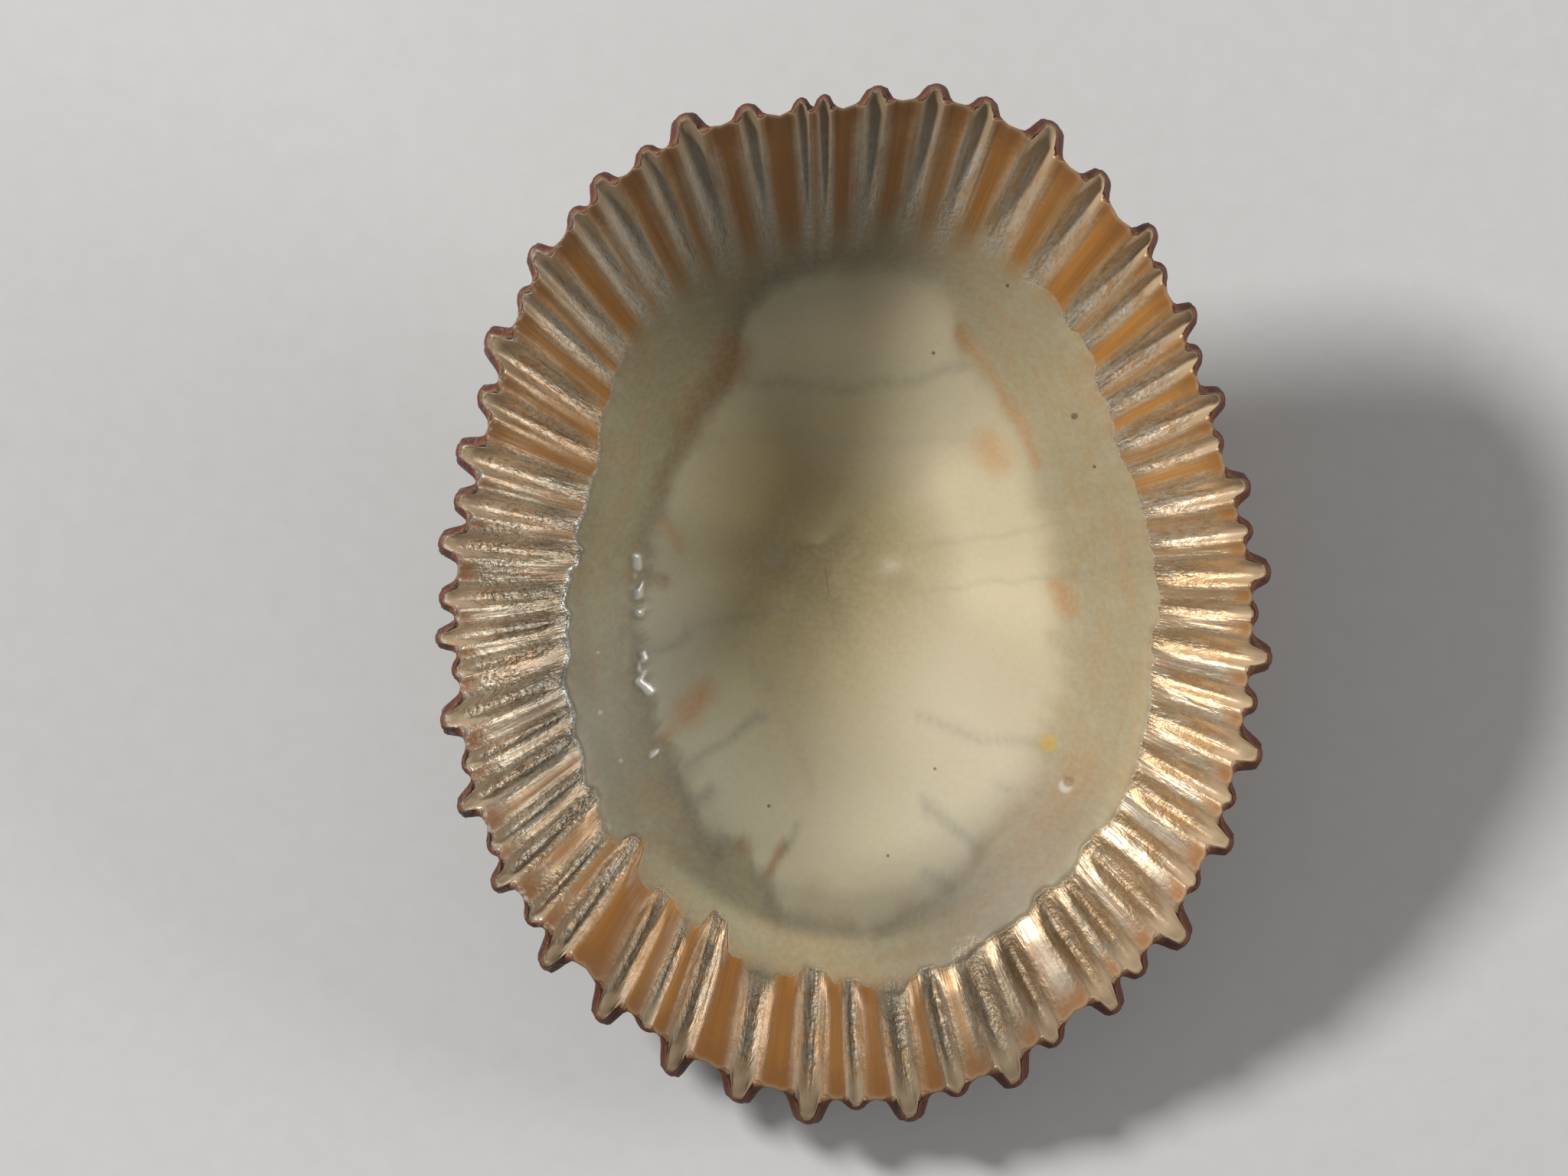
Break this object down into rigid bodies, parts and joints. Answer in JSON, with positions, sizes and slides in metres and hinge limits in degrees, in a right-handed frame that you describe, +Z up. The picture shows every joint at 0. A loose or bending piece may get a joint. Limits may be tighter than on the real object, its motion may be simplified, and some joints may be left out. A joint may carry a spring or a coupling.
{
  "type": "limpet shell",
  "caption": "Oval ribbed limpet shell with a toothed margin, lying tipped on its worn apex with the smooth, pearly-edged hollow facing up.",
  "frame": {"origin": "middle of the worn flat at the apex, on the surface that the shell rests on", "axes": "+Z up out of the hollow, +Y along the shell towards its head end, +X to the right seen from above"},
  "size_m": [0.036, 0.0448, 0.0193],
  "materials": {
    "shell": "smooth cream lining, pearly bronze fluted margin, dull dark brown ribs outside"
  },
  "bodies": {
    "root": {"shell": "shell"}
  },
  "joints": []
}
